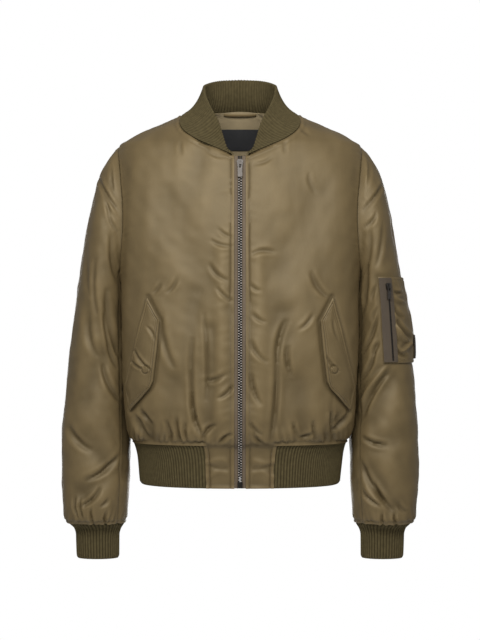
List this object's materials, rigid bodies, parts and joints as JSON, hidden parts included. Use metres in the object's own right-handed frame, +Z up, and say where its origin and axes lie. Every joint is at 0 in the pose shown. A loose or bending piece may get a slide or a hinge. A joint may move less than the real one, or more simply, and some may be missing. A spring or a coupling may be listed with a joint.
{
  "type": "bomber jacket",
  "caption": "Olive nylon bomber jacket filled out as worn, with ribbed collar, hem and cuffs, a front zip, slanted flap pockets and a zipped sleeve pocket.",
  "frame": {"origin": "midway between the tops of the two shoulder seams, level with the sides of the neck, where the wearer's shoulders hold the jacket", "axes": "+Z up; the fronts and zip face -Y; +X to the viewer's right seen from the front, which is the wearer's left, the side of the sleeve pocket"},
  "size_m": [0.604, 0.2738, 0.82],
  "materials": {
    "shell": "olive nylon twill with a soft satin sheen",
    "rib_knit": "matte olive ribbed knit",
    "lining": "smooth olive lining",
    "label": "bare black woven label",
    "zip_tape": "olive-brown woven zip tape",
    "metal": "dull nickel"
  },
  "bodies": {
    "root": {"front_right": "shell", "front_left": "shell", "back": "shell", "upper_sleeve_right": "shell", "under_sleeve_right": "shell", "upper_sleeve_left": "shell", "under_sleeve_left": "shell", "flap_right": "shell", "flap_left": "shell", "sleeve_pocket": "shell", "snap_right": "shell", "snap_left": "shell", "collar": "rib_knit", "hem_rib": "rib_knit", "cuff_right": "rib_knit", "cuff_left": "rib_knit", "neck_lining": "lining", "hanger_loop": "lining", "neck_label": "label", "zip_tape_left": "zip_tape", "zip_tape_right": "zip_tape", "pocket_tape": "zip_tape", "pen_slot": "zip_tape", "front_slider": "metal", "zip_box": "metal", "pocket_slider": "metal"},
    "front_pull": {"front_pull": "metal"},
    "pocket_pull": {"pocket_pull": "metal"}
  },
  "joints": [
    {"name": "front_pull_swing", "type": "hinge", "parent": "root", "child": "front_pull", "pos_m": [0, -0.11614, -0.08403], "axis": [-1, 0, 0], "range_deg": [0, 165]},
    {"name": "pocket_pull_swing", "type": "hinge", "parent": "root", "child": "pocket_pull", "pos_m": [0.24697, -0.08083, -0.28537], "axis": [-0.9069, -0.4213, 0], "range_deg": [0, 165]}
  ]
}
